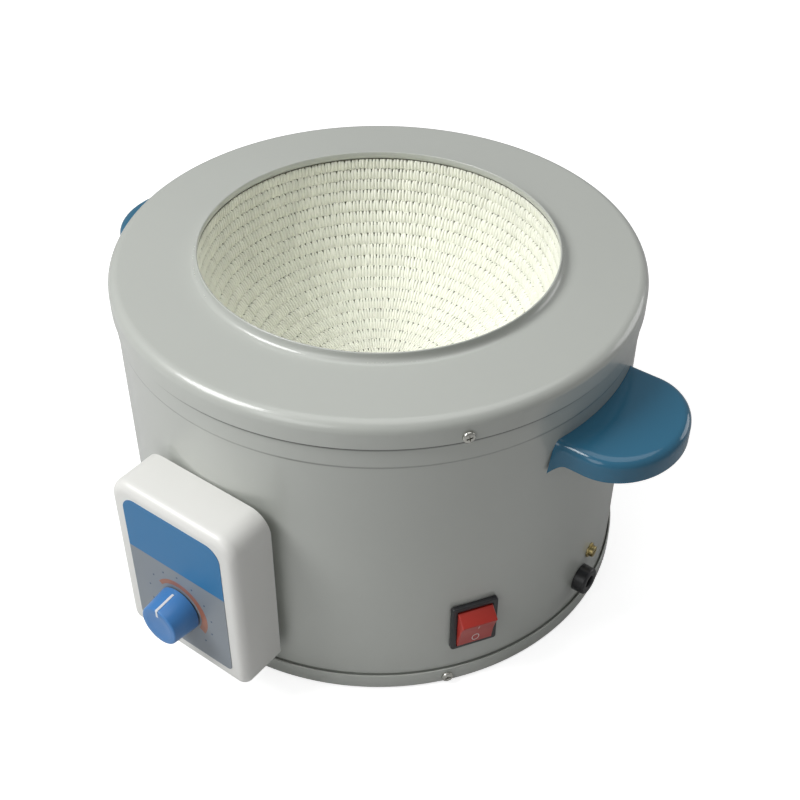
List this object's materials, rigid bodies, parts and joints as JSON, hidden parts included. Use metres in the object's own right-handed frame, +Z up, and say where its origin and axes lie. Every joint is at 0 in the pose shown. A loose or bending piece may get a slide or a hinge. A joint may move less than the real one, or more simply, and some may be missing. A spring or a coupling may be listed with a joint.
{
  "type": "heating mantle",
  "caption": "Round laboratory heating mantle with a knitted bowl for a round flask, blue side handles, a dial control box and a rocker switch.",
  "frame": {"origin": "centre of the case's round foot ring, on the bench plane", "axes": "+Z up along the axis of the bowl, -Y towards the control box, +X and -X towards the two handles"},
  "size_m": [0.362, 0.3232, 0.1912],
  "materials": {
    "grey_paint": "satin baked enamel",
    "zinc_steel": "bright zinc plate",
    "plain_steel": "plain sheet",
    "glass_yarn": "knitted glass yarn",
    "glass_wool": "felted wool",
    "block_ceramic": "unglazed",
    "brass": "bright",
    "blue_plastic": "moulded gloss",
    "white_plastic": "moulded satin",
    "black_rubber": "moulded",
    "label_film": "printed film",
    "board_green": "solder mask",
    "spacer_nylon": "natural nylon",
    "bare_aluminium": "plain",
    "black_plastic": "moulded",
    "capacitor_yellow": "dipped resin",
    "knob_blue": "moulded satin",
    "pointer_white": "paint filled groove",
    "rocker_red": "moulded gloss"
  },
  "bodies": {
    "case": {"top_cover": "grey_paint", "side_wall": "grey_paint", "bottom_pan": "grey_paint", "cover_screws": "zinc_steel", "cover_nuts": "zinc_steel", "base_screws": "zinc_steel", "base_nuts": "zinc_steel", "heating_bowl": "glass_yarn", "insulation": "glass_wool", "inner_pot": "plain_steel", "element_leads": "plain_steel", "lead_sleeves": "block_ceramic", "terminal_block": "block_ceramic", "block_screws": "brass", "block_nuts": "brass", "handle_right": "blue_plastic", "handle_left": "blue_plastic", "handle_screws": "zinc_steel", "box_shell": "white_plastic", "box_back": "plain_steel", "box_screws": "zinc_steel", "box_mount_screws": "zinc_steel", "box_mount_nuts": "zinc_steel", "lead_grommet": "black_rubber", "front_label": "label_film", "circuit_board": "board_green", "card_spacers": "spacer_nylon", "heat_sink": "bare_aluminium", "triac": "black_plastic", "capacitors": "capacitor_yellow", "potentiometer": "bare_aluminium", "potentiometer_nut": "zinc_steel", "switch_housing": "black_plastic", "switch_terminals": "brass", "earth_screw": "brass", "earth_nut": "brass", "cable_bushing": "black_plastic", "bushing_nut": "black_plastic"},
    "dial": {"knob": "knob_blue", "knob_pointer": "pointer_white", "potentiometer_shaft": "bare_aluminium"},
    "rocker": {"switch_rocker": "rocker_red"}
  },
  "joints": [
    {"name": "dial_turn", "type": "hinge", "parent": "case", "child": "dial", "pos_m": [0, -0.17, 0.058], "axis": [0, -1, 0], "range_deg": [-125, 130]},
    {"name": "rocker_tilt", "type": "hinge", "parent": "case", "child": "rocker", "pos_m": [0.11495, -0.07309, 0.0433], "axis": [-0.5366, -0.8439, 0], "range_deg": [0, 33.3]}
  ]
}
